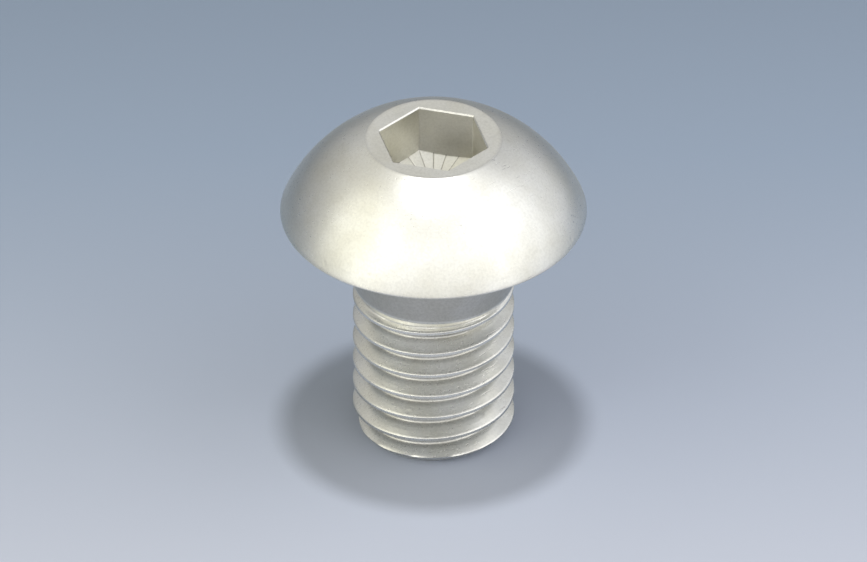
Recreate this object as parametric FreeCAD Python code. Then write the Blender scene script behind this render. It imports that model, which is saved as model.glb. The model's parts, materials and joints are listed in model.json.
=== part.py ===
import FreeCAD, Part
import math
import os
from FreeCAD import Vector

# Button head screw with hexagon socket, M5 x 8, headed and thread-rolled from one piece of wire.
# Frame: the origin is the centre of the bearing face under the head, +Z runs up through the crown,
# the shank points down -Z, and two corners of the socket lie on the Y axis. Lengths are in millimetres.

# Thread and length
thread_diameter = 5.0        # over the crests
thread_pitch = 0.8
screw_length = 8.0           # bearing face to end face
flank_angle = 60.0           # between the two flanks of a groove, in degrees
run_out_length = 0.8         # height over which the last groove gets shallower and ends
plain_band = 0.1             # unthreaded cylinder between the run-out and the neck

# Head
head_diameter = 9.5          # widest, over the rounded rim
head_height = 2.75           # bearing face to crown flat
crown_flat_diameter = 4.2
edge_radius = 0.05           # on the rim and round the crown flat

# Neck, the cone that carries the shank into the head
neck_top_diameter = 5.7
neck_length = 2.4
neck_fillet_radius = 0.1     # in the corner between neck and bearing face

# Hexagon socket
socket_across_flats = 3.0
socket_corner_depth = 1.6    # crown flat to the floor, at a corner of the hexagon
socket_floor_drop = 0.4      # how much deeper the floor's middle is than its corners
socket_floor_facets = 24
socket_mouth_break = 0.05    # bevel round the mouth

# Values that follow from the sizes above
crest_radius = thread_diameter / 2
half_flank = math.radians(flank_angle / 2)
triangle_height = thread_pitch / 2 / math.tan(half_flank)
crest_flat = thread_pitch / 8
groove_depth = triangle_height * 17 / 24
root_radius = crest_radius - groove_depth
end_chamfer = triangle_height * 5 / 8
end_radius = crest_radius - end_chamfer
head_radius = head_diameter / 2
neck_top_radius = neck_top_diameter / 2
socket_corner_radius = socket_across_flats / 2 / math.cos(math.radians(30))


def at(radius, height):
    """A point of a profile: distance from the axis, and height above the bearing face."""
    return Vector(radius, 0, height)


def line(start, end):
    return Part.LineSegment(start, end).toShape()


def arc(centre, radius, first_angle, last_angle):
    """Arc of a profile, from one polar angle to the other about its centre."""
    def point(angle):
        return centre + at(radius * math.cos(angle), radius * math.sin(angle))
    middle_angle = (first_angle + last_angle) / 2
    return Part.Arc(point(first_angle), point(middle_angle), point(last_angle)).toShape()


def revolved(edges):
    """The solid swept by a closed profile about the screw's axis."""
    return Part.Face(Part.Wire(edges)).revolve(Vector(0, 0, 0), Vector(0, 0, 1), 360)


def polygon_edges(points):
    return Part.makePolygon(points + points[:1]).Edges


def crown_edges():
    """Outline of the head from the axis, over the dome, round the rim and back to the bearing face.

    The arcs on the rim and round the flat have one radius. The dome runs tangent to both, so its
    centre on the axis is as far from one arc's centre as from the other's.
    """
    flat_arc = at(crown_flat_diameter / 2, head_height - edge_radius)
    rim_arc = at(head_radius - edge_radius, edge_radius)
    rise = flat_arc.z - rim_arc.z
    dome_centre = at(0, (flat_arc.dot(flat_arc) - rim_arc.dot(rim_arc)) / (2 * rise))
    dome_radius = rim_arc.distanceToPoint(dome_centre) + edge_radius
    flat_angle = math.atan2(flat_arc.z - dome_centre.z, flat_arc.x)
    rim_angle = math.atan2(rim_arc.z - dome_centre.z, rim_arc.x)
    return [
        line(at(0, head_height), at(flat_arc.x, head_height)),
        arc(flat_arc, edge_radius, math.pi / 2, flat_angle),
        arc(dome_centre, dome_radius, flat_angle, rim_angle),
        arc(rim_arc, edge_radius, rim_angle, -math.pi / 2),
    ]


def neck_edges():
    """Outline under the head: bearing face, fillet, and the neck's cone down to the shank."""
    taper = math.atan2(neck_top_radius - crest_radius, neck_length)
    tangent_length = neck_fillet_radius / math.tan((math.pi / 2 + taper) / 2)
    fillet_centre = at(neck_top_radius + tangent_length, -neck_fillet_radius)
    cone_start = fillet_centre + at(-math.cos(taper), math.sin(taper)) * neck_fillet_radius
    return [
        line(at(head_radius - edge_radius, 0), at(fillet_centre.x, 0)),
        arc(fillet_centre, neck_fillet_radius, math.pi / 2, math.pi - taper),
        line(cone_start, at(crest_radius, -neck_length)),
    ]


def shank_edges():
    """Outline of the shank before threading, with the 45 degree chamfer at its end."""
    chamfer_height = end_chamfer - screw_length
    return [
        line(at(crest_radius, -neck_length), at(crest_radius, chamfer_height)),
        line(at(crest_radius, chamfer_height), at(end_radius, -screw_length)),
        line(at(end_radius, -screw_length), at(0, -screw_length)),
        line(at(0, -screw_length), at(0, head_height)),
    ]


def thread_groove():
    """One right-hand groove along the whole shank, from a pitch below its end to a pitch into the neck.

    Its section is a trapezoid with 60 degree flanks. It stands a little proud of the crests, by less
    than would make one turn touch the next.
    """
    proud = thread_pitch / 16
    half_root = (thread_pitch - crest_flat) / 2 - groove_depth * math.tan(half_flank)
    half_mouth = half_root + (groove_depth + proud) * math.tan(half_flank)
    first_height = -screw_length - thread_pitch
    last_height = -neck_length + thread_pitch
    section = Part.makePolygon([
        at(root_radius, first_height - half_root),
        at(crest_radius + proud, first_height - half_mouth),
        at(crest_radius + proud, first_height + half_mouth),
        at(root_radius, first_height + half_root),
        at(root_radius, first_height - half_root),
    ])
    helix = Part.makeLongHelix(thread_pitch, last_height - first_height, crest_radius, 0)
    helix.translate(at(0, first_height))
    sweep = Part.BRepOffsetAPI.MakePipeShell(Part.Wire(helix))
    sweep.setFrenetMode(True)
    sweep.add(section)
    sweep.build()
    sweep.makeSolid()
    return sweep.shape()


def unthreaded_core():
    """What the thread leaves alone: the neck, and the cone on which the last groove climbs to the crest."""
    slope = groove_depth / run_out_length
    run_out_top = -neck_length - plain_band
    low = run_out_top - 1.5 * run_out_length
    high = run_out_top + plain_band
    low_radius = crest_radius + (low - run_out_top) * slope
    high_radius = crest_radius + (high - run_out_top) * slope
    above_groove = -neck_length + 2 * thread_pitch
    return revolved(polygon_edges([
        at(0, low),
        at(low_radius, low),
        at(high_radius, high),
        at(high_radius, above_groove),
        at(0, above_groove),
    ]))


def hexagon(corner_radius, height):
    corners = [
        Vector(
            corner_radius * math.cos(math.radians(90 + 60 * corner)),
            corner_radius * math.sin(math.radians(90 + 60 * corner)),
            height,
        )
        for corner in range(6)
    ]
    return Part.makePolygon(corners + corners[:1])


def hexagon_socket():
    """The hollow for a 3 mm key: six walls, a bevelled mouth, and a floor that is a flat many-sided funnel."""
    floor_depth = socket_corner_depth + socket_floor_drop
    above = head_height + socket_mouth_break
    shaft = Part.Face(hexagon(socket_corner_radius, above)).extrude(Vector(0, 0, -floor_depth - 1))
    mouth = Part.makeLoft([
        hexagon(socket_corner_radius + 2 * socket_mouth_break, above),
        hexagon(socket_corner_radius, head_height - socket_mouth_break),
    ], True, True)
    spread = socket_corner_radius / socket_floor_drop
    funnel_radius = spread * (floor_depth + socket_mouth_break)
    rim = [
        Vector(
            funnel_radius * math.cos(2 * math.pi * facet / socket_floor_facets),
            funnel_radius * math.sin(2 * math.pi * facet / socket_floor_facets),
            above,
        )
        for facet in range(socket_floor_facets)
    ]
    funnel = Part.makeLoft([
        Part.makePolygon(rim + rim[:1]),
        Part.Vertex(at(0, head_height - floor_depth)),
    ], True, True)
    return shaft.common(funnel).fuse(mouth)


blank = revolved(crown_edges() + neck_edges() + shank_edges())
threaded = blank.cut(thread_groove().cut(unthreaded_core()))
screw = threaded.cut(hexagon_socket())

os.makedirs("parts", exist_ok=True)
screw.exportStep("parts/button_head_screw.step")
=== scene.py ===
# %% [markdown]
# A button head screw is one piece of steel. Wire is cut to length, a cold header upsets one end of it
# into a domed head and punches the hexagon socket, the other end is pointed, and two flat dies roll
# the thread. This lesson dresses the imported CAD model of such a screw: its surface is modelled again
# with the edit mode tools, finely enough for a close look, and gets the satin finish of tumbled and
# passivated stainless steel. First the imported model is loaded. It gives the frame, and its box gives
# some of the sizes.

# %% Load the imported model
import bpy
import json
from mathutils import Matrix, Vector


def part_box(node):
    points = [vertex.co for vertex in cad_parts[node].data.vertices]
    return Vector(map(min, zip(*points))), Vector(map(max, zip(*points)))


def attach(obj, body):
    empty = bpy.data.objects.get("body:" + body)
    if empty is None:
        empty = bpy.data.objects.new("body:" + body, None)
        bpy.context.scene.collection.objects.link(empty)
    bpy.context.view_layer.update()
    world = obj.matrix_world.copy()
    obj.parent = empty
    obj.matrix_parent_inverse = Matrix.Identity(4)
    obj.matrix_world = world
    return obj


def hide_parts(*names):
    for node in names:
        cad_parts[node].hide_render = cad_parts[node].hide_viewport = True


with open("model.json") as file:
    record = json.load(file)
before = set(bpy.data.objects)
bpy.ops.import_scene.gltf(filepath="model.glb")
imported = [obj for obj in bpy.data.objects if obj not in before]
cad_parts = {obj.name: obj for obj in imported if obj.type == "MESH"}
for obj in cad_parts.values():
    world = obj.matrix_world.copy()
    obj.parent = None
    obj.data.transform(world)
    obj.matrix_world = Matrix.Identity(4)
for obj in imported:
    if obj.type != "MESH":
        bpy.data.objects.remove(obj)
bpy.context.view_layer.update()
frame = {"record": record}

# %% [markdown]
# Blender measures in metres and a screw is measured in millimetres, so one factor turns the second
# into the first. The width of the head, both heights and the crest of the thread are read from the
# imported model. The other sizes are those that the CAD source gives the same forms. Two small distances
# are needed as well: points closer than the first are merged, and whatever lies within the second of
# some place is taken to be there.

# %% Sizes of the screw
import json
import math

import bmesh
import bpy
from mathutils import Vector

MM = 0.001
mounts = {mount["name"]: mount for mount in frame["record"]["mounts"]}
low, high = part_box("button_head_screw")
head_radius = high.x
head_height = high.z
end_height = low.z
crest_radius = mounts["thread"]["dims"]["r_mm"] * MM
crown_radius = 2.1 * MM
edge_radius = 0.05 * MM
neck_top_radius = 2.85 * MM
neck_end = -2.4 * MM
fillet_radius = 0.1 * MM
merge_distance = 0.0001 * MM
hair = 0.001 * MM
print("head", head_radius / MM * 2, "mm wide, end at", end_height / MM, "mm")

# %% [markdown]
# The head, its bearing face and the neck are surfaces of revolution, because the header's die is a
# turned hole. The usual way to model such a form is to draw its outline in one half plane and to spin
# it round the axis. An outline can be drawn by hand from a single point: extruding the point draws a
# line, and spinning it about the centre of an arc draws that arc. The three short functions below do
# only that, and the point drawn last stays selected.

# %% Draw an outline from a point
def begin_outline(name, point):
    """A new object in edit mode, with one point, which is selected."""
    bpy.ops.object.select_all(action="DESELECT")
    bpy.ops.mesh.primitive_plane_add(size=1 * MM, location=(0, 0, 0))
    drawn = bpy.context.object
    drawn.name = name
    bpy.ops.object.mode_set(mode="EDIT")
    bpy.ops.mesh.merge(type="CENTER")
    bpy.ops.transform.translate(value=point)
    return drawn


def line_to(drawn, point, parts=1):
    """Draw a straight line from the selected point, divided into equal parts."""
    mesh = bmesh.from_edit_mesh(drawn.data)
    tip = next(vertex.co.copy() for vertex in mesh.verts if vertex.select)
    step = (Vector(point) - tip) / parts
    for _ in range(parts):
        bpy.ops.mesh.extrude_region_move(TRANSFORM_OT_translate={"value": step})


def arc_about(centre, degrees, parts):
    """Draw an arc from the selected point. Positive degrees turn clockwise, with the crown on top."""
    bpy.ops.mesh.spin(
        steps=parts, angle=math.radians(degrees), center=centre, axis=(0, -1, 0)
    )


# %% [markdown]
# The dome is one arc that runs tangent to the small arcs on the rim and round the crown flat. Those two
# have the same radius, so the dome's centre on the axis is as far from the centre of one as from the
# centre of the other, which is a little school geometry.

# %% Centre of the dome
crown_arc = Vector((crown_radius, 0, head_height - edge_radius))
rim_arc = Vector((head_radius - edge_radius, 0, edge_radius))
rise = crown_arc.z - rim_arc.z
dome_centre = Vector((0, 0, (crown_arc.dot(crown_arc) - rim_arc.dot(rim_arc)) / (2 * rise)))
dome_start = math.degrees(math.atan2(crown_arc.z - dome_centre.z, crown_arc.x))
dome_end = math.degrees(math.atan2(rim_arc.z - dome_centre.z, rim_arc.x))
print("dome from", round(dome_start, 2), "to", round(dome_end, 2), "degrees above the rim")

# %% [markdown]
# Where a flat face meets an arc, smooth shading would bleed over the flat face. A second ring of points
# 0.04 mm from the arc keeps that to a narrow band, which is what modellers call a support loop. The
# outline goes over the crown, down the dome, round the rim, in along the bearing face, round the
# fillet, and down the neck's cone to the top of the shank.

# %% Outline of the head
support = 0.04 * MM
taper = math.atan2(neck_top_radius - crest_radius, -neck_end)
fillet_reach = fillet_radius / math.tan((math.pi / 2 + taper) / 2)
fillet_centre = Vector((neck_top_radius + fillet_reach, 0, -fillet_radius))
cone_top = fillet_centre + fillet_radius * Vector((-math.cos(taper), 0, math.sin(taper)))
neck_foot = Vector((crest_radius, 0, neck_end))
along_cone = (neck_foot - cone_top).normalized()

screw = begin_outline("screw", (crown_radius - support, 0, head_height))
line_to(screw, (crown_radius, 0, head_height))
arc_about(crown_arc, 90 - dome_start, parts=5)
arc_about(dome_centre, dome_start - dome_end, parts=40)
arc_about(rim_arc, dome_end + 90, parts=10)
line_to(screw, (rim_arc.x - support, 0, 0))
line_to(screw, (fillet_centre.x + support, 0, 0), parts=8)
line_to(screw, (fillet_centre.x, 0, 0))
arc_about(fillet_centre, math.degrees(taper) - 90, parts=5)
line_to(screw, cone_top + along_cone * support)
line_to(screw, neck_foot - along_cone * support, parts=10)
line_to(screw, neck_foot)
line_to(screw, neck_foot - Vector((0, 0, support)))
print("outline of", len(bmesh.from_edit_mesh(screw.data).verts), "points")

# %% [markdown]
# One full spin in 192 steps turns the outline into the head. At this size a step is 0.16 mm on the
# widest circle, so its edge looks round in a close view too. The number is a multiple of 24 because the
# floor of the socket has 24 facets.

# %% Spin the head
columns = 192
bpy.ops.mesh.select_all(action="SELECT")
bpy.ops.mesh.spin(steps=columns, angle=2 * math.pi, center=(0, 0, 0), axis=(0, 0, 1))
bpy.ops.mesh.select_all(action="SELECT")
bpy.ops.mesh.remove_doubles(threshold=merge_distance)
bpy.ops.object.mode_set(mode="OBJECT")
print("head has", len(screw.data.polygons), "faces")

# %% [markdown]
# The thread is rolled, not cut: the dies press a groove into the shank and the steel flows up into
# the crests. So the groove has a rounded floor, flanks at 60 degrees to each other, and crests with soft
# corners. A groove could be cut by a boolean, but its mesh would be a mix of slivers. Here the outline of
# one pitch is drawn, from the middle of one crest to the middle of the next, and the Screw modifier
# winds it up the axis, so the mesh flows along the thread as the steel does.

# %% Sizes of the thread
pitch = 0.8 * MM
half_flank = math.radians(30)
triangle_height = pitch / 2 / math.tan(half_flank)
groove_depth = triangle_height * 17 / 24
floor_radius = triangle_height / 6
crest_corner = 0.03 * MM
crest_half = pitch / 16 - crest_corner * math.tan(half_flank)
chamfer_end_radius = crest_radius - triangle_height * 5 / 8
print("groove", round(groove_depth / MM, 3), "mm deep, floor radius", round(floor_radius / MM, 3))

# %% Outline of one pitch
first_crest = end_height - 1.5 * pitch
groove_centre = first_crest + pitch / 2
crest_arc = crest_radius - crest_corner
floor_arc = Vector((crest_radius - groove_depth + floor_radius, 0, groove_centre))
to_lower_flank = floor_radius * Vector((-math.sin(half_flank), 0, -math.cos(half_flank)))
lower_corner = Vector((crest_arc, 0, first_crest + crest_half))
upper_corner = Vector((crest_arc, 0, first_crest + pitch - crest_half))
to_upper_flank = crest_corner * Vector((math.sin(half_flank), 0, -math.cos(half_flank)))

thread = begin_outline("thread", (crest_radius, 0, first_crest))
line_to(thread, (crest_radius, 0, lower_corner.z))
arc_about(lower_corner, -60, parts=3)
line_to(thread, floor_arc + to_lower_flank, parts=10)
arc_about(floor_arc, 120, parts=8)
line_to(thread, upper_corner + to_upper_flank, parts=10)
arc_about(upper_corner, -60, parts=3)
line_to(thread, (crest_radius, 0, first_crest + pitch))
bpy.ops.object.mode_set(mode="OBJECT")
print("one pitch has", len(thread.data.vertices), "points")

# %% Wind the thread
winding = thread.modifiers.new("winding", "SCREW")
winding.axis = "Z"
winding.angle = 2 * math.pi
winding.screw_offset = pitch
winding.steps = winding.render_steps = columns
winding.iterations = 9
winding.use_merge_vertices = False
bpy.ops.object.modifier_apply(modifier=winding.name)
bpy.ops.object.mode_set(mode="EDIT")
bpy.ops.mesh.select_all(action="SELECT")
bpy.ops.mesh.remove_doubles(threshold=merge_distance)
print("thread has", len(bmesh.from_edit_mesh(thread.data).faces), "faces")

# %% [markdown]
# The wound bar is longer than the shank and has the full thread everywhere. On the real screw the
# thread starts on a 45 degree point, which lets it find its nut, and it fades out on a cone below the neck,
# where the dies end. Both are cones about the axis, so the points of the mesh are shifted in or out
# until none stands outside the point's cone or inside the fading cone. Steel that is pressed doesn't
# turn a corner sharply, so the larger of two radii is taken with a small rounding. It is wider where the
# groove fades out than at the point. A least radius keeps those points away from the axis that are
# trimmed off later.

# %% Fit the thread to both ends
def rounded_max(first, second, rounding):
    """The larger of two lengths, with a smooth change from one to the other."""
    share = min(max(0.5 + (first - second) / rounding / 2, 0), 1)
    return second + (first - second) * share + rounding * share * (1 - share)


plain_band = 0.1 * MM
run_out_length = 0.8 * MM
least_radius = 0.5 * MM
point_rounding = 0.03 * MM
fade_rounding = 0.06 * MM
fade_top = neck_end - plain_band
fade_slope = groove_depth / run_out_length
shifted = 0
for vertex in bmesh.from_edit_mesh(thread.data).verts:
    radius = math.hypot(vertex.co.x, vertex.co.y)
    point_cone = max(chamfer_end_radius + vertex.co.z - end_height, least_radius)
    fading_cone = crest_radius + (vertex.co.z - fade_top) * fade_slope
    wanted = -rounded_max(-radius, -point_cone, point_rounding)
    wanted = min(rounded_max(wanted, fading_cone, fade_rounding), crest_radius)
    if abs(wanted - radius) > merge_distance:
        vertex.co.x *= wanted / radius
        vertex.co.y *= wanted / radius
        shifted += 1
print("points shifted onto a cone:", shifted)

# %% [markdown]
# Two bisections trim the bar. The lower one closes it with a face, which is the flat end of the screw.
# The upper one leaves it open, 0.02 mm below the ring where the head's outline stopped.

# %% Trim the bar
bridge_gap = 0.02 * MM
on_plane = merge_distance / 10
bpy.ops.mesh.select_all(action="SELECT")
bpy.ops.mesh.bisect(
    plane_co=(0, 0, end_height),
    plane_no=(0, 0, 1),
    clear_inner=True,
    use_fill=True,
    threshold=on_plane,
)
bpy.ops.mesh.select_all(action="SELECT")
bpy.ops.mesh.bisect(
    plane_co=(0, 0, neck_end - support - bridge_gap),
    plane_no=(0, 0, 1),
    clear_outer=True,
    threshold=on_plane,
)
bpy.ops.object.mode_set(mode="OBJECT")
print("trimmed bar has", len(thread.data.polygons), "faces")

# %% [markdown]
# The head and the bar become one object, and a bridge closes the gap between their two open rings.
# Operators work on what is selected, so a helper selects parts of the mesh by a test on each of them.

# %% Select parts of a mesh by a test
def select(kind, wanted):
    """In edit mode, select the VERT, EDGE or FACE items for which wanted(item) is true, and no others."""
    bpy.ops.mesh.select_mode(type=kind)
    bpy.ops.mesh.select_all(action="DESELECT")
    mesh = bmesh.from_edit_mesh(bpy.context.object.data)
    items = {"VERT": mesh.verts, "EDGE": mesh.edges, "FACE": mesh.faces}[kind]
    chosen = [item for item in items if wanted(item)]
    for item in chosen:
        item.select_set(True)
    mesh.select_flush_mode()
    bmesh.update_edit_mesh(bpy.context.object.data)
    return len(chosen)


def height(edge):
    return (edge.verts[0].co.z + edge.verts[1].co.z) / 2


# %% Join the bar to the head
bpy.ops.object.select_all(action="DESELECT")
thread.select_set(True)
screw.select_set(True)
bpy.context.view_layer.objects.active = screw
bpy.ops.object.join()
bpy.ops.object.mode_set(mode="EDIT")
bridged = select(
    "EDGE", lambda edge: edge.is_boundary and abs(height(edge) - neck_end) < 2 * support
)
bpy.ops.mesh.bridge_edge_loops()
print("bridged two rings with", bridged, "edges in all")

# %% [markdown]
# The socket is punched by a hexagonal pin, which has slightly rounded corners and a shallow pointed end
# with 24 facets. A circle of six points is a hexagon. Each side is subdivided, its points are slid to
# lie 15 degrees apart as seen from the axis, where the facets meet the wall, and the corners are
# bevelled round. The ring lies on the crown flat, and is wider than the key by the bevel round the
# mouth. That bevel is 0.05 mm at the corners, which makes 0.0433 mm at the flats.

# %% Mouth of the socket
flat_distance = 1.5 * MM
mouth_break = 0.0433 * MM
mouth_distance = flat_distance + mouth_break
half_side = math.pi / 6
facet_turn = math.radians(15)
corner_reach = mouth_distance / math.cos(half_side)
bpy.ops.mesh.select_mode(type="VERT")
bpy.ops.mesh.select_all(action="DESELECT")
bpy.ops.mesh.primitive_circle_add(vertices=6, radius=corner_reach, location=(0, 0, head_height))
bpy.ops.mesh.subdivide(number_cuts=3)
mesh = bmesh.from_edit_mesh(screw.data)
for vertex in [vertex for vertex in mesh.verts if vertex.select]:
    turn = round(math.atan2(vertex.co.y, vertex.co.x) / facet_turn) * facet_turn
    from_flat = (turn + half_side) % (2 * half_side) - half_side
    reach = mouth_distance / math.cos(from_flat)
    vertex.co.x = reach * math.cos(turn)
    vertex.co.y = reach * math.sin(turn)
bmesh.update_edit_mesh(screw.data)
print("points round the mouth:", sum(vertex.select for vertex in mesh.verts))

# %% Round the corners of the hexagon
corner_rounding = 0.035 * MM
corners = select(
    "VERT",
    lambda vertex: vertex.is_wire and math.hypot(vertex.co.x, vertex.co.y) > corner_reach - hair,
)
bpy.ops.mesh.bevel(offset=corner_rounding, segments=4, affect="VERTICES")
print("corners rounded:", corners)

# %% [markdown]
# The ring of the mouth is extruded down and drawn in for the bevel, and extruded again for the walls.
# The pin's 24 facets leave a floor that is a flat funnel, so each point of the walls ends on
# the facet that it stands over. A last extrusion, merged into one point, closes the floor. How far
# these two extrusions go doesn't matter, because the heights are set afterwards.

# %% Walls and floor of the socket
socket_depth = 2.0 * MM
floor_drop = 0.4 * MM
floor_middle = head_height - socket_depth
floor_slope = floor_drop / (flat_distance / math.cos(half_side))


def floor_height(point):
    """Height of the faceted floor under a point."""
    turn = math.atan2(point.y, point.x)
    from_facet = (turn % facet_turn) - facet_turn / 2
    along_facet = math.hypot(point.x, point.y) * math.cos(from_facet) / math.cos(facet_turn / 2)
    return floor_middle + floor_slope * along_facet


ring = select("VERT", lambda vertex: vertex.is_wire and vertex.co.z > head_height - hair)
bpy.ops.mesh.extrude_region_move(TRANSFORM_OT_translate={"value": (0, 0, -mouth_break)})
narrower = flat_distance / mouth_distance
bpy.ops.transform.resize(value=(narrower, narrower, 1), center_override=(0, 0, 0))
bpy.ops.mesh.extrude_region_move(TRANSFORM_OT_translate={"value": (0, 0, -1.5 * MM)})
mesh = bmesh.from_edit_mesh(screw.data)
for vertex in [vertex for vertex in mesh.verts if vertex.select]:
    vertex.co.z = floor_height(vertex.co)
bpy.ops.mesh.extrude_region_move(TRANSFORM_OT_translate={"value": (0, 0, -0.1 * MM)})
bpy.ops.mesh.merge(type="CENTER")
mesh = bmesh.from_edit_mesh(screw.data)
for vertex in [vertex for vertex in mesh.verts if vertex.select]:
    vertex.co = (0, 0, floor_middle)
bmesh.update_edit_mesh(screw.data)
print("the ring had", ring, "points, the floor's middle lies", socket_depth / MM, "mm deep")

# %% Bridge the crown flat
bridged = select("EDGE", lambda edge: edge.is_boundary and abs(height(edge) - head_height) < hair)
bpy.ops.mesh.bridge_edge_loops()
print("bridged two rings with", bridged, "edges in all")

# %% [markdown]
# Spinning and winding can turn a surface inside out, so doubles are merged and the normals are
# recalculated to point outwards. Smooth shading is limited to edges under 30 degrees. The creases
# between the floor's facets are flatter than that, so they are marked sharp.

# %% Close and shade the surface
bpy.ops.mesh.select_mode(type="VERT")
bpy.ops.mesh.select_all(action="SELECT")
bpy.ops.mesh.remove_doubles(threshold=merge_distance)
bpy.ops.mesh.normals_make_consistent(inside=False)


def is_crease(edge):
    """Whether an edge runs from the middle of the socket's floor out between two of its facets."""
    inner, outer = sorted((vertex.co for vertex in edge.verts), key=lambda co: math.hypot(co.x, co.y))
    at_middle = math.hypot(inner.x, inner.y) <= hair and abs(inner.z - floor_middle) <= hair
    facets = math.atan2(outer.y, outer.x) / facet_turn
    return at_middle and abs(facets - round(facets)) < 0.01


creases = select("EDGE", is_crease)
bpy.ops.mesh.mark_sharp()
bpy.ops.object.mode_set(mode="OBJECT")
bpy.ops.object.select_all(action="DESELECT")
screw.select_set(True)
bpy.ops.object.shade_smooth_by_angle(angle=math.radians(30), keep_sharp_edges=True)

measured = bmesh.new()
measured.from_mesh(screw.data)
open_edges = sum(len(edge.link_faces) != 2 for edge in measured.edges)
triangles = sum(len(face.verts) - 2 for face in measured.faces)
volume = measured.calc_volume(signed=True) / MM**3
measured.free()
print("creases", creases, "open edges", open_edges, "triangles", triangles)
print("volume", round(volume, 2), "cubic millimetres")

# %% [markdown]
# The steel is a plain chromium-nickel stainless steel. It is headed and rolled cold, tumbled with small
# stones, which breaks the edges and leaves a satin skin, and passivated in acid, which leaves it a clean,
# slightly warm light grey. Colours are easier to read as the hex values of a paint program than as the
# linear values that the renderer works with, so one function turns the first into the second. Another
# adds a node to a material, with its settings and links.

# %% Helpers for materials
def linear(code):
    """An sRGB hex value such as E6E5DF as the four linear values of a colour socket."""
    shares = [int(code[start:start + 2], 16) / 255 for start in (0, 2, 4)]
    return [s / 12.92 if s <= 0.04045 else ((s + 0.055) / 1.055) ** 2.4 for s in shares] + [1]


def add_node(tree, kind, inputs, **settings):
    """Add a node and give it its settings. Each input gets a value, or a link from a node or socket."""
    added = tree.nodes.new(kind)
    for name, value in settings.items():
        setattr(added, name, value)
    for name, value in inputs.items():
        if isinstance(value, bpy.types.Node):
            value = value.outputs[0]
        if isinstance(value, bpy.types.NodeSocket):
            tree.links.new(value, added.inputs[name])
        else:
            added.inputs[name].default_value = value
    return added


print("light grey steel in linear values:", [round(share, 3) for share in linear("E6E5DF")])

# %% [markdown]
# A metal takes its look from what it reflects, so Metallic is 1 and the roughness and the relief do most
# of the work. All patterns sit on Object coordinates, turned into millimetres, so that a scale is one
# divided by the size of a mark. Each region of the screw went through other tools and needs a mask: the
# neck is what lies under the head and above the thread, and the socket is what lies within its corners'
# reach of the axis and below the crown flat. The levels and radii where regions meet are worked out in
# millimetres too, and most masks change over a few hundredths of one.

# %% Places on the screw
end_level = end_height / MM
neck_level = neck_end / MM
crown_level = head_height / MM
floor_level = floor_middle / MM
socket_reach = corner_reach / MM
steel = bpy.data.materials.new("satin_passivated_stainless_steel")
steel.use_nodes = True
tree = steel.node_tree
shader = tree.nodes["Principled BSDF"]
shader.inputs["Metallic"].default_value = 1
metres = add_node(tree, "ShaderNodeTexCoord", {}).outputs["Object"]
place = add_node(tree, "ShaderNodeVectorMath", {0: metres, "Scale": 1 / MM}, operation="SCALE")
apart = add_node(tree, "ShaderNodeSeparateXYZ", {0: place})
level = apart.outputs["Z"]
outward = add_node(tree, "ShaderNodeVectorMath", {0: place, 1: (1, 1, 0)}, operation="MULTIPLY")
radius = add_node(tree, "ShaderNodeVectorMath", {0: outward}, operation="LENGTH").outputs["Value"]
on_end = add_node(tree, "ShaderNodeMapRange", {0: level, 1: end_level + 0.02, 2: end_level + 0.005})
below_neck = add_node(
    tree, "ShaderNodeMapRange", {0: level, 1: neck_level - 0.02, 2: neck_level - 0.08}
)
on_thread = add_node(tree, "ShaderNodeMath", {0: below_neck, 1: on_end}, operation="SUBTRACT")
near_axis = add_node(
    tree, "ShaderNodeMapRange", {0: radius, 1: socket_reach + 0.05, 2: socket_reach + 0.02}
)
above_floor = add_node(
    tree, "ShaderNodeMapRange", {0: level, 1: floor_level - 0.35, 2: floor_level - 0.15}
)
below_crown = add_node(
    tree, "ShaderNodeMapRange", {0: level, 1: crown_level - 0.002, 2: crown_level - 0.01}
)
on_crown = add_node(tree, "ShaderNodeMath", {0: 1.0, 1: below_crown}, operation="SUBTRACT")
in_middle = add_node(tree, "ShaderNodeMath", {0: near_axis, 1: above_floor}, operation="MULTIPLY")
in_socket = add_node(tree, "ShaderNodeMath", {0: in_middle, 1: below_crown}, operation="MULTIPLY")
under_head = add_node(tree, "ShaderNodeMapRange", {0: level, 1: 0.02, 2: 0.0})
on_neck = add_node(tree, "ShaderNodeMath", {0: under_head, 1: below_neck}, operation="SUBTRACT")
print("masks for the thread, the neck, the socket, the crown flat and the end")

# %% [markdown]
# The skin is uneven on three scales. Slow cloudy patches over a millimetre or so come from the
# passivating bath. A fine grain comes from the tumbling stones. It is really about 0.02 mm wide, which a
# picture at 0.03 mm a pixel can't show, so it is drawn at 0.08 mm. Here and there are shallow dents up
# to 0.2 mm wide, where screws fell on each other: a few cells of a Voronoi pattern, chosen by its colour.

# %% Skin of the steel
cloud_size = 1.4
grain_size = 0.08
dent_spacing = 0.55
clouds = add_node(
    tree,
    "ShaderNodeTexNoise",
    {"Vector": place, "Scale": 1 / cloud_size, "Detail": 3, "Roughness": 0.55},
)
grain = add_node(
    tree,
    "ShaderNodeTexNoise",
    {"Vector": place, "Scale": 1 / grain_size, "Detail": 2, "Roughness": 0.6},
)
cells = add_node(tree, "ShaderNodeTexVoronoi", {"Vector": place, "Scale": 1 / dent_spacing})
dent_depth = add_node(tree, "ShaderNodeMapRange", {0: cells.outputs["Distance"], 1: 0.18, 2: 0.03})
choice = add_node(tree, "ShaderNodeSeparateColor", {0: cells.outputs["Color"]})
chosen = add_node(tree, "ShaderNodeMapRange", {0: choice, 1: 0.62, 2: 0.7})
dents = add_node(tree, "ShaderNodeMath", {0: dent_depth, 1: chosen}, operation="MULTIPLY")
print("clouds", cloud_size, "mm, grain", grain_size, "mm, dents", dent_spacing, "mm apart")

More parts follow.
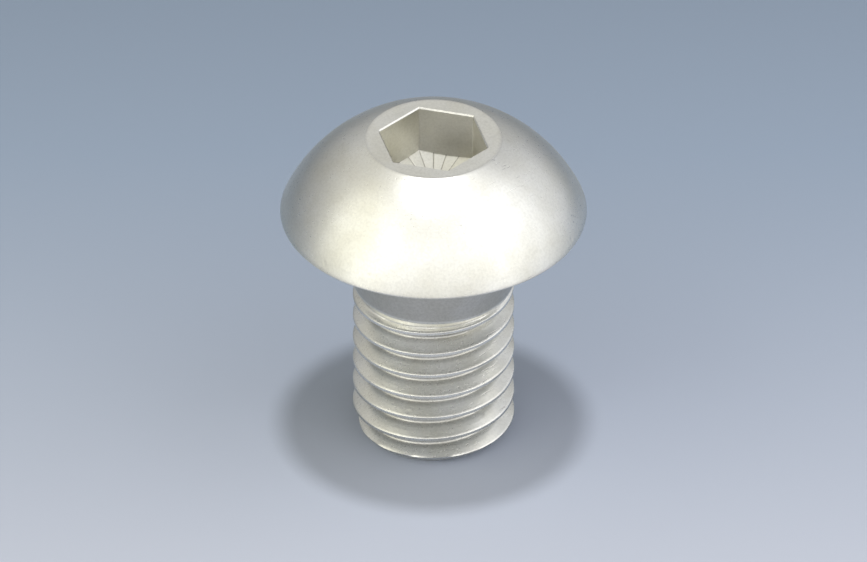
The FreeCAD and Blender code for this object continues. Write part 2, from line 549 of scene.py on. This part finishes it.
# %% [markdown]
# Tumbling also leaves short straight scratches in all directions, but not in the socket. Noise that is
# stretched thirty times longer than it is wide, and cut off so that only its peaks stay, looks like
# them. Three sets at different angles are enough. Real ones are about 0.01 mm wide and are drawn at
# 0.05 mm, so that they show.

# %% Scratches
scratch_width = 0.05
scratch_length = 1.5
scratches = 0.0
for angles in ((0.4, 0.9, 0.3), (1.3, 0.2, 2.1), (2.2, 0.5, 1.1)):
    stretched = add_node(
        tree,
        "ShaderNodeMapping",
        {
            "Vector": place,
            "Rotation": angles,
            "Scale": (1 / scratch_width, 1 / scratch_length, 1 / scratch_width),
        },
    )
    streaks = add_node(tree, "ShaderNodeTexNoise", {"Vector": stretched, "Scale": 1, "Detail": 1})
    peaks = add_node(tree, "ShaderNodeMapRange", {0: streaks, 1: 0.68, 2: 0.74})
    scratches = add_node(tree, "ShaderNodeMath", {0: peaks, 1: scratches}, operation="MAXIMUM")
out_of_socket = add_node(tree, "ShaderNodeMath", {0: 1.0, 1: in_socket}, operation="SUBTRACT")
scratches = add_node(tree, "ShaderNodeMath", {0: scratches, 1: out_of_socket}, operation="MULTIPLY")
print("scratches", scratch_width, "mm wide and", scratch_length, "mm long")

# %% [markdown]
# Tools leave marks too. The header's dies were turned on a lathe and print faint rings on the head and
# fine lines round the neck, and the pointing cutter leaves stronger rings on the end. All of them run
# round the axis, so noise that depends on the radius alone draws those on the head and the end, and
# noise that depends on the height alone draws the neck's. The punch leaves upright lines on the walls of
# the socket. Real marks of all three kinds lie 0.01 to 0.03 mm apart, which wouldn't show either, so they
# are drawn 0.07 to 0.1 mm apart.

# %% Rings, neck lines and punch lines
ring_spacing = 0.08
neck_line_spacing = 0.1
punch_line_spacing = 0.07
punch_line_length = 1.6
rings = add_node(
    tree,
    "ShaderNodeTexNoise",
    {"W": radius, "Scale": 1 / ring_spacing, "Detail": 2},
    noise_dimensions="1D",
)
neck_lines = add_node(
    tree,
    "ShaderNodeTexNoise",
    {"W": level, "Scale": 1 / neck_line_spacing, "Detail": 2},
    noise_dimensions="1D",
)
upright = add_node(
    tree,
    "ShaderNodeMapping",
    {
        "Vector": place,
        "Scale": (1 / punch_line_spacing, 1 / punch_line_spacing, 1 / punch_line_length),
    },
)
punch_lines = add_node(tree, "ShaderNodeTexNoise", {"Vector": upright, "Scale": 1, "Detail": 2})
print("rings", ring_spacing, "neck lines", neck_line_spacing, "punch lines", punch_line_spacing, "mm apart")

# %% [markdown]
# On the thread every mark runs along the helix. A coordinate that stays the same along the helix is the
# height in pitches less the turn about the axis. Its fraction goes from 0 on one crest over 0.5 on the
# groove's floor to 1 on the next crest. Noise over that fraction draws the lines that the dies print on
# the flanks, again coarser than they are. On the crest a rolled thread has a fine seam, because the steel
# that the dies push up from both sides meets there; the clouds make it come and go.

# %% Marks along the thread
lines_to_a_pitch = 14
turn = add_node(
    tree, "ShaderNodeMath", {0: apart.outputs["Y"], 1: apart.outputs["X"]}, operation="ARCTAN2"
)
start = add_node(
    tree, "ShaderNodeMath", {0: turn, 1: 0.5 / math.pi, 2: first_crest / pitch}, operation="MULTIPLY_ADD"
)
pitches = add_node(tree, "ShaderNodeMath", {0: level, 1: MM / pitch}, operation="MULTIPLY")
helix = add_node(tree, "ShaderNodeMath", {0: pitches, 1: start}, operation="SUBTRACT")
across = add_node(tree, "ShaderNodeMath", {0: helix}, operation="FRACT")
rolled_lines = add_node(
    tree,
    "ShaderNodeTexNoise",
    {"W": across, "Scale": lines_to_a_pitch, "Detail": 2},
    noise_dimensions="1D",
)
from_floor = add_node(tree, "ShaderNodeMath", {0: across, 1: 0.5}, operation="SUBTRACT")
to_crest = add_node(tree, "ShaderNodeMath", {0: from_floor}, operation="ABSOLUTE")
crest_mask = add_node(tree, "ShaderNodeMapRange", {0: to_crest, 1: 0.41, 2: 0.45})
on_crest = add_node(tree, "ShaderNodeMath", {0: crest_mask, 1: on_thread}, operation="MULTIPLY")
seam_here = add_node(tree, "ShaderNodeMapRange", {0: clouds, 1: 0.5, 2: 0.6})
seam_middle = add_node(tree, "ShaderNodeMapRange", {0: to_crest, 1: 0.48, 2: 0.495})
seam = add_node(tree, "ShaderNodeMath", {0: seam_middle, 1: seam_here}, operation="MULTIPLY")
flank_mask = add_node(tree, "ShaderNodeMapRange", {0: to_crest, 1: 0.43, 2: 0.4})
on_flank = add_node(tree, "ShaderNodeMath", {0: flank_mask, 1: on_thread}, operation="MULTIPLY")
print("across the thread, 0 and 1 are crests and 0.5 is the groove's floor")

# %% [markdown]
# The edges between the punch's 24 facets print fine creases in the socket's floor, and the colour
# darkens them as painted shade in those creases. They run out from the axis every 15 degrees. The turn
# in steps of 15 degrees has a whole number on each crease, so the way to the nearest whole number, times
# the length of one step at this radius, is the distance from a crease in millimetres. A real crease is
# about 0.01 mm wide and is drawn at 0.03 mm, so that it shows.

# %% Creases in the floor of the socket
steps = add_node(tree, "ShaderNodeMath", {0: turn, 1: 1 / facet_turn}, operation="MULTIPLY")
nearest = add_node(tree, "ShaderNodeMath", {0: steps}, operation="ROUND")
beside = add_node(tree, "ShaderNodeMath", {0: steps, 1: nearest}, operation="SUBTRACT")
beside = add_node(tree, "ShaderNodeMath", {0: beside}, operation="ABSOLUTE")
step_length = add_node(tree, "ShaderNodeMath", {0: radius, 1: facet_turn}, operation="MULTIPLY")
distance = add_node(tree, "ShaderNodeMath", {0: beside, 1: step_length}, operation="MULTIPLY")
line = add_node(tree, "ShaderNodeMapRange", {0: distance, 1: 0.025, 2: 0.005})
wall_foot = floor_level + floor_drop / MM
below_walls = add_node(tree, "ShaderNodeMapRange", {0: level, 1: wall_foot, 2: wall_foot - 0.03})
floor_here = add_node(tree, "ShaderNodeMath", {0: below_walls, 1: in_socket}, operation="MULTIPLY")
# Painted shade: the colour darkens these crease lines.
floor_creases = add_node(tree, "ShaderNodeMath", {0: line, 1: floor_here}, operation="MULTIPLY")
print("creases 0.03 mm wide, every 15 degrees")

# %% [markdown]
# Colour first. The clouds mix the clean grey with a slightly browner one. The tumbling stones hardly
# reach under the head, so the neck keeps the duller skin of the drawn wire, and its colour is darkened
# further as painted shade under the head. The crown flat is rougher than the dome, and its colour is a
# little darker, painted shade on the top face. The groove's floor, the foot of the socket and the
# creases in its floor are darkened as painted shade in those hollows, and the seam and the dents are a
# little darker too. The pits of the grain are a shade darker. Each mark has a share, and a chain of sums
# adds the shares up.

# %% Colour of the steel
tint = add_node(tree, "ShaderNodeMapRange", {0: clouds, 1: 0.35, 2: 0.7})
skin = add_node(
    tree,
    "ShaderNodeMix",
    {"Factor": tint, 6: linear("E6E5DF"), 7: linear("DAD8CE")},
    data_type="RGBA",
).outputs[2]
flecks = add_node(tree, "ShaderNodeMapRange", {0: grain, 1: 0.4, 2: 0.65})
root_radius = (crest_radius - groove_depth) / MM
# Painted shade: the groove's floor and the foot of the socket get a darker colour.
deep = add_node(tree, "ShaderNodeMapRange", {0: radius, 1: root_radius + 0.19, 2: root_radius + 0.01})
groove_floor_shade = add_node(tree, "ShaderNodeMath", {0: deep, 1: on_thread}, operation="MULTIPLY")
low_down = add_node(tree, "ShaderNodeMapRange", {0: level, 1: wall_foot + 0.65, 2: wall_foot - 0.15})
socket_foot_shade = add_node(tree, "ShaderNodeMath", {0: low_down, 1: in_socket}, operation="MULTIPLY")
crest_seam = add_node(tree, "ShaderNodeMath", {0: seam, 1: on_thread}, operation="MULTIPLY")
# Painted shade: the neck, the crown flat, the groove's floor, the socket's foot and its creases are
# darkened here.
dulling_and_shade = 0.0
for share, mark in (
    (0.4, on_neck),
    (0.15, on_crown),
    (0.35, groove_floor_shade),
    (0.1, socket_foot_shade),
    (0.6, floor_creases),
    (0.1, flecks),
    (0.3, crest_seam),
    (0.06, dents),
):
    dulling_and_shade = add_node(tree, "ShaderNodeMath", {0: mark, 1: share, 2: dulling_and_shade}, operation="MULTIPLY_ADD")
colour = add_node(
    tree, "ShaderNodeMix", {"Factor": dulling_and_shade, 6: skin, 7: linear("77736A")}, data_type="RGBA"
).outputs[2]
tree.links.new(colour, shader.inputs["Base Color"])
print("steel between E6E5DF and DAD8CE")

# %% [markdown]
# Roughness next. Dies that slide along the thread burnish its flanks and crests, and tumbling polishes
# every outer edge: the rim, the ring round the crown flat and the mouth of the socket. The scratches are
# bright. The grain and the rings are duller. So is the crown flat, because the steel that fills the die
# last doesn't slide along it, and the cut end.

# %% Roughness of the steel
rim_radius = head_radius / MM
rim = add_node(tree, "ShaderNodeMapRange", {0: radius, 1: rim_radius - 0.07, 2: rim_radius - 0.01})
mouth_band = add_node(
    tree, "ShaderNodeMapRange", {0: level, 1: crown_level - 0.05, 2: crown_level - 0.03}
)
mouth_edge = add_node(tree, "ShaderNodeMath", {0: mouth_band, 1: in_socket}, operation="MULTIPLY")
crown_ring = add_node(
    tree, "ShaderNodeMath", {0: radius, 1: crown_radius / MM, 2: 0.05}, operation="COMPARE"
)
crown_band = add_node(
    tree, "ShaderNodeMapRange", {0: level, 1: crown_level - 0.15, 2: crown_level - 0.07}
)
crown_edge = add_node(tree, "ShaderNodeMath", {0: crown_ring, 1: crown_band}, operation="MULTIPLY")
roughness = 0.27
for share, mark in (
    (0.09, clouds),
    (0.1, grain),
    (0.05, rings),
    (0.12, on_end),
    (0.2, on_crown),
    (0.05, on_neck),
    (-0.06, on_thread),
    (-0.05, on_crest),
    (-0.06, in_socket),
    (-0.08, rim),
    (-0.08, crown_edge),
    (-0.06, mouth_edge),
    (-0.12, scratches),
):
    roughness = add_node(
        tree, "ShaderNodeMath", {0: mark, 1: share, 2: roughness}, operation="MULTIPLY_ADD"
    )
tree.links.new(roughness.outputs[0], shader.inputs["Roughness"])
print("roughness about 0.38 on the dome and 0.32 on the thread")

# %% [markdown]
# The bump comes last. All heights are in thousandths of a millimetre, so its distance is that length in
# metres. Each set of tool marks is kept to its own region by its mask, and the grain and the dents are
# everywhere.

# %% Relief of the steel
relief = 0.0
for height_here, mark, region in (
    (2.0, grain, 1.0),
    (-5.0, dents, 1.0),
    (-1.2, scratches, 1.0),
    (1.2, rings, 1.0),
    (8.0, neck_lines, on_neck),
    (5.0, rings, on_end),
    (2.4, rolled_lines, on_flank),
    (-3.0, seam, on_thread),
    (3.5, punch_lines, in_socket),
    (-3.0, floor_creases, 1.0),
):
    inside = add_node(tree, "ShaderNodeMath", {0: mark, 1: region}, operation="MULTIPLY")
    relief = add_node(
        tree, "ShaderNodeMath", {0: inside, 1: height_here, 2: relief}, operation="MULTIPLY_ADD"
    )
bump = add_node(tree, "ShaderNodeBump", {"Height": relief, "Strength": 1, "Distance": 0.001 * MM})
tree.links.new(bump.outputs["Normal"], shader.inputs["Normal"])
screw.data.materials.clear()
screw.data.materials.append(steel)
print("the steel has", len(tree.nodes), "nodes")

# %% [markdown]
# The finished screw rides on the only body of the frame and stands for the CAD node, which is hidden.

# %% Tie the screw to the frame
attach(screw, "root")
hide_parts("button_head_screw")
print("screw stands for button_head_screw")

# %% [markdown]
# The photograph is an isometric view without perspective: the camera looks down at 35.26 degrees along
# the diagonal between two axes. A millimetre is 32.3 pixels there and the picture 867 pixels wide, which
# gives the width that the camera takes in. It aims at the point of the axis in the picture's middle.

# %% Camera
picture_width = 867
pixels_to_a_mm = 32.3
stand_off = 60 * MM
elevation = math.atan(math.sqrt(0.5))
aim = Vector((0, 0, -2.64 * MM))
back = Vector((1, -1, 1)).normalized()
bpy.ops.object.camera_add(
    location=aim + stand_off * back, rotation=(math.pi / 2 - elevation, 0, math.radians(45))
)
camera = bpy.context.object
camera.name = "camera"
camera.data.type = "ORTHO"
camera.data.ortho_scale = picture_width / pixels_to_a_mm * MM
camera.data.clip_start = 1 * MM
bpy.context.scene.camera = camera
print("camera takes in", round(camera.data.ortho_scale / MM, 2), "mm")

# %% [markdown]
# The floor is plain matt card, pale blue grey. Its colour is painted darker towards the back, a painted
# falloff of light such as a card curved up behind small goods shows. It is a large plane at the height
# of the screw's end. A gradient along the line of sight of the first picture is fixed to the floor, so it
# stays where it is in other views.

# %% Floor
pale_end = -16 * MM
dark_end = 45 * MM
bpy.ops.object.select_all(action="DESELECT")
bpy.ops.mesh.primitive_plane_add(size=2, location=(0, 0, end_height))
floor = bpy.context.object
floor.name = "floor"
card = bpy.data.materials.new("matt_card")
card.use_nodes = True
tree = card.node_tree
ground = add_node(tree, "ShaderNodeTexCoord", {}).outputs["Object"]
turned = add_node(tree, "ShaderNodeMapping", {"Vector": ground, "Rotation": (0, 0, -math.pi / 4)})
backward = add_node(tree, "ShaderNodeSeparateXYZ", {0: turned.outputs[0]}).outputs["Y"]
depth = add_node(tree, "ShaderNodeMapRange", {0: backward, 1: pale_end, 2: dark_end}).outputs[0]
# Painted shade: the colour ramp darkens the floor towards the back.
ramp = add_node(tree, "ShaderNodeValToRGB", {"Fac": depth})
ramp.color_ramp.elements[0].color = linear("CACDD9")
ramp.color_ramp.elements[1].color = linear("707E8F")
ramp.color_ramp.elements.new(0.5).color = linear("9AA8BC")
matt = tree.nodes["Principled BSDF"]
matt.inputs["Roughness"].default_value = 1
matt.inputs["Specular IOR Level"].default_value = 0.1
tree.links.new(ramp.outputs["Color"], matt.inputs["Base Color"])
floor.data.materials.append(card)
print("floor at", round(end_height / MM, 2), "mm")

# %% [markdown]
# A satin metal shows its lamps as soft patches, so the lamps are chosen for their reflections. A wide
# soft box in front draws the broad highlight on the dome. Two warm ones on the left and two plain ones
# on the right carry it round the sides, two high up close the gap under the crown, and one behind
# lights the crown flat. Each is given by its bearing from the camera in degrees, positive to the right,
# its elevation in degrees, its distance and size in millimetres, its brightness, where 1 is white, and
# its tint.

# %% Soft boxes
def soft_box(name, bearing, lift, distance, width, tall, brightness, tint):
    around = math.radians(45 + bearing)
    up = math.radians(lift)
    towards = Vector(
        (math.sin(around) * math.cos(up), -math.cos(around) * math.cos(up), math.sin(up))
    )
    turned = (math.pi / 2 - up, 0, around)
    bpy.ops.object.light_add(type="AREA", location=distance * MM * towards, rotation=turned)
    lamp = bpy.context.object
    lamp.name = name
    lamp.data.shape = "RECTANGLE"
    lamp.data.size = width * MM
    lamp.data.size_y = tall * MM
    lamp.data.energy = math.pi * brightness * width * tall * MM**2
    lamp.data.color = linear(tint)[:3]


soft_box("front_box", 5, 30, 75, 226, 70, 0.98, "FFFEFA")
soft_box("left_box", -67, 31, 80, 70, 84, 1.0, "FFFEEC")
soft_box("far_left_box", -115, 47, 80, 80, 70, 0.27, "FFF8DC")
soft_box("right_box", 75, 30, 80, 80, 80, 0.54, "FFFFFF")
soft_box("side_box", 103, 18, 80, 110, 60, 0.5, "F8FAFF")
soft_box("high_right_box", 88, 56, 80, 60, 50, 0.66, "FFFFFF")
soft_box("high_box", 10, 68, 80, 110, 80, 0.34, "FFFFFF")
soft_box("back_box", 180, 32, 90, 120, 60, 0.16, "FFFFFF")
print("eight soft boxes")

# %% [markdown]
# A small lamp straight above draws the round shadow under the head. It is a sun lamp with an angle of a
# few degrees, which gives the shadow its soft edge. The world is the pale wall of the studio. The camera
# and the steel see it as it is, and for the rest it adds only a little light from all round, so
# that the floor keeps its shadow. The Light Path node tells these rays apart.

# %% Overhead lamp and world
bpy.ops.object.light_add(type="SUN", location=(0, 0, 100 * MM))
overhead = bpy.context.object
overhead.name = "overhead_lamp"
overhead.data.energy = 1.14
overhead.data.angle = math.radians(7)
world = bpy.data.worlds.new("studio")
bpy.context.scene.world = world
world.use_nodes = True
tree = world.node_tree
rays = add_node(tree, "ShaderNodeLightPath", {}).outputs
mirrored = add_node(
    tree,
    "ShaderNodeMath",
    {0: rays["Is Glossy Ray"], 1: rays["Is Transmission Ray"]},
    operation="MAXIMUM",
)
seen = add_node(tree, "ShaderNodeMath", {0: mirrored, 1: rays["Is Camera Ray"]}, operation="MAXIMUM")
strength = add_node(tree, "ShaderNodeMapRange", {0: seen, 3: 0.12, 4: 1.0}).outputs[0]
wall = tree.nodes["Background"]
wall.inputs["Color"].default_value = linear("AAACB0")
tree.links.new(strength, wall.inputs["Strength"])
bpy.context.scene.view_settings.view_transform = "Standard"
